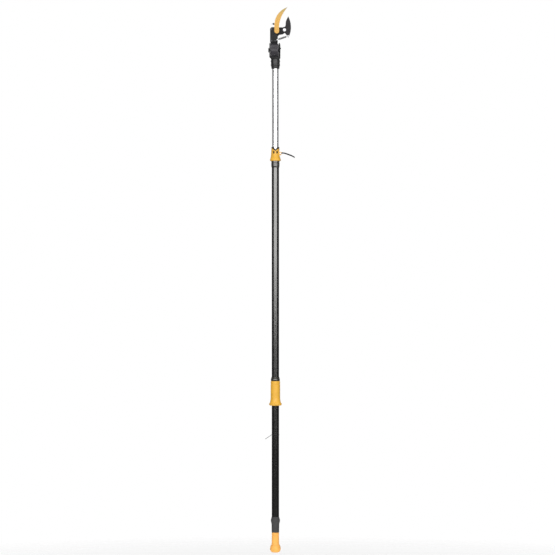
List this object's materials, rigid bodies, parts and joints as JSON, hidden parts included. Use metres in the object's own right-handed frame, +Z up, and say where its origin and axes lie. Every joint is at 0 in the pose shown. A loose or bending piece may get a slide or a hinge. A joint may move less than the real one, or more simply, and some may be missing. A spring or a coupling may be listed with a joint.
{
  "type": "telescoping pole pruner",
  "caption": "Telescoping two-tube pole with a tilting bypass pruning head: fixed curved hook, crescent blade, sliding grip and end knob that pull it shut by cord and tackle.",
  "frame": {"origin": "centre of the flat butt end of the end knob, where the tool rests upright", "axes": "+Z up the pole to the hook, +X to the side the jaws open and the cam lever stands out, -Y the front, where the hook is bolted on"},
  "size_m": [0.1314, 0.066, 2.41],
  "materials": {
    "black_tube": "satin black coating on aluminium tube",
    "silver_tube": "clear anodised, drawn",
    "amber_plastic": "moulded, fine satin",
    "black_plastic": "moulded, fine grain",
    "charcoal_plastic": "moulded, glass-filled nylon",
    "barrel_plastic": "moulded, satin",
    "frame_paint": "powder coat on a die casting",
    "amber_paint": "gloss enamel on steel plate",
    "blade_coating": "dark low-friction coating on steel",
    "bright_steel": "zinc plated or ground",
    "dark_steel": "black oxide",
    "bronze": "sintered",
    "cord": "braided"
  },
  "bodies": {
    "pole": {"outer_tube": "black_tube", "end_collar": "black_plastic", "end_plug": "black_plastic", "end_collar_screw": "dark_steel", "clamp_collar": "black_plastic", "clamp_body": "amber_plastic", "clamp_liner": "black_plastic", "brake_shoe": "black_plastic", "lever_pin": "bright_steel", "drive_cord_anchor": "cord"},
    "cam_lever": {"cam_lever": "charcoal_plastic"},
    "stop_ring": {"stop_ring": "dark_steel"},
    "grip": {"slide_grip": "amber_plastic", "grip_ring": "black_plastic", "grip_slider": "black_plastic", "grip_screw": "dark_steel", "drive_cord_rise": "cord"},
    "end_knob": {"end_knob": "amber_plastic", "knob_stem": "black_plastic", "knob_cord": "cord"},
    "mast": {"inner_tube": "silver_tube", "tube_foot": "black_plastic", "foot_pulley_axle": "bright_steel", "head_socket": "charcoal_plastic", "socket_screws": "dark_steel", "knuckle_yoke": "charcoal_plastic", "cheek_cover": "charcoal_plastic", "cheek_cover_screw": "dark_steel", "drive_cord_mast": "cord"},
    "foot_pulley": {"foot_pulley": "black_plastic"},
    "tilt_knob": {"tilt_knob": "black_plastic"},
    "head": {"barrel_left": "barrel_plastic", "barrel_right": "barrel_plastic", "barrel_cap": "charcoal_plastic", "detent_ring": "charcoal_plastic", "head_frame": "frame_paint", "housing_front": "charcoal_plastic", "housing_rear": "charcoal_plastic", "cover_screws": "dark_steel", "hook": "amber_paint", "hook_rivets": "amber_paint", "saw_stud": "bright_steel", "saw_stud_nut": "black_plastic", "pivot_bushing": "bronze", "becket_pin": "bright_steel", "spring_post": "bright_steel", "tilt_cords": "cord", "tackle_cord": "cord", "return_spring": "bright_steel"},
    "blade": {"blade": "blade_coating", "pivot_shaft": "bright_steel", "pivot_nut_front": "bright_steel", "pivot_nut_rear": "bright_steel", "drive_lever": "bright_steel", "drive_pin": "bright_steel", "tail_post": "bright_steel"},
    "tackle": {"tackle_block": "bright_steel", "tackle_axle": "bright_steel"},
    "haul_sheave": {"haul_sheave": "black_plastic"},
    "dead_sheave": {"dead_sheave": "black_plastic"}
  },
  "joints": [
    {"name": "telescope", "type": "slide", "parent": "pole", "child": "mast", "axis": [0, 0, 1], "range_m": [0, 1.46], "deforming": ["drive_cord_anchor", "drive_cord_rise"]},
    {"name": "cam_lever_close", "type": "hinge", "parent": "pole", "child": "cam_lever", "pos_m": [0.0225, 0, 1.764], "axis": [0, 1, 0], "range_deg": [0, 68]},
    {"name": "stop_ring_slide", "type": "slide", "parent": "pole", "child": "stop_ring", "axis": [0, 0, -1], "range_m": [0, 0.32]},
    {"name": "grip_slide", "type": "slide", "parent": "pole", "child": "grip", "axis": [0, 0, -1], "range_m": [0, 0.1182], "stiffness_N_per_m": 60, "springref_m": -0.15},
    {"name": "end_knob_pull", "type": "slide", "parent": "pole", "child": "end_knob", "axis": [0, 0, -1], "range_m": [0, 0.1182]},
    {"name": "foot_pulley_turn", "type": "hinge", "parent": "mast", "child": "foot_pulley", "pos_m": [0.0036, 0.0059, 0.133], "axis": [1, 0, 0], "range_deg": [-10, 16410]},
    {"name": "head_tilt", "type": "hinge", "parent": "mast", "child": "head", "pos_m": [0, 0, 2.221], "axis": [1, 0, 0], "range_deg": [-115, 115], "deforming": ["tilt_cords"]},
    {"name": "tilt_knob_turn", "type": "hinge", "parent": "mast", "child": "tilt_knob", "pos_m": [0, 0, 2.221], "axis": [1, 0, 0], "continuous": true},
    {"name": "blade_swing", "type": "hinge", "parent": "head", "child": "blade", "pos_m": [0.0403, 0, 2.31], "axis": [0, -1, 0], "range_deg": [-1, 43], "deforming": ["return_spring"]},
    {"name": "tackle_slide", "type": "slide", "parent": "head", "child": "tackle", "axis": [0, 0, -1], "range_m": [-0.0005, 0.0301], "deforming": ["tackle_cord"]},
    {"name": "haul_sheave_turn", "type": "hinge", "parent": "tackle", "child": "haul_sheave", "pos_m": [0, -0.0025, 2.29229], "axis": [0, -1, 0], "range_deg": [-5, 1275]},
    {"name": "dead_sheave_turn", "type": "hinge", "parent": "tackle", "child": "dead_sheave", "pos_m": [0, 0.0025, 2.29229], "axis": [0, 1, 0], "range_deg": [-5, 430]}
  ],
  "couplings": [
    {"joint": "end_knob_pull", "follows": "grip_slide", "ratio": 1},
    {"joint": "blade_swing", "follows": "grip_slide", "rad_per_m": 6.2017},
    {"joint": "tackle_slide", "follows": "grip_slide", "ratio": 0.25},
    {"joint": "haul_sheave_turn", "follows": "grip_slide", "rad_per_m": 187.5},
    {"joint": "dead_sheave_turn", "follows": "grip_slide", "rad_per_m": 62.5},
    {"joint": "foot_pulley_turn", "follows": "telescope", "rad_per_m": 196.08}
  ]
}
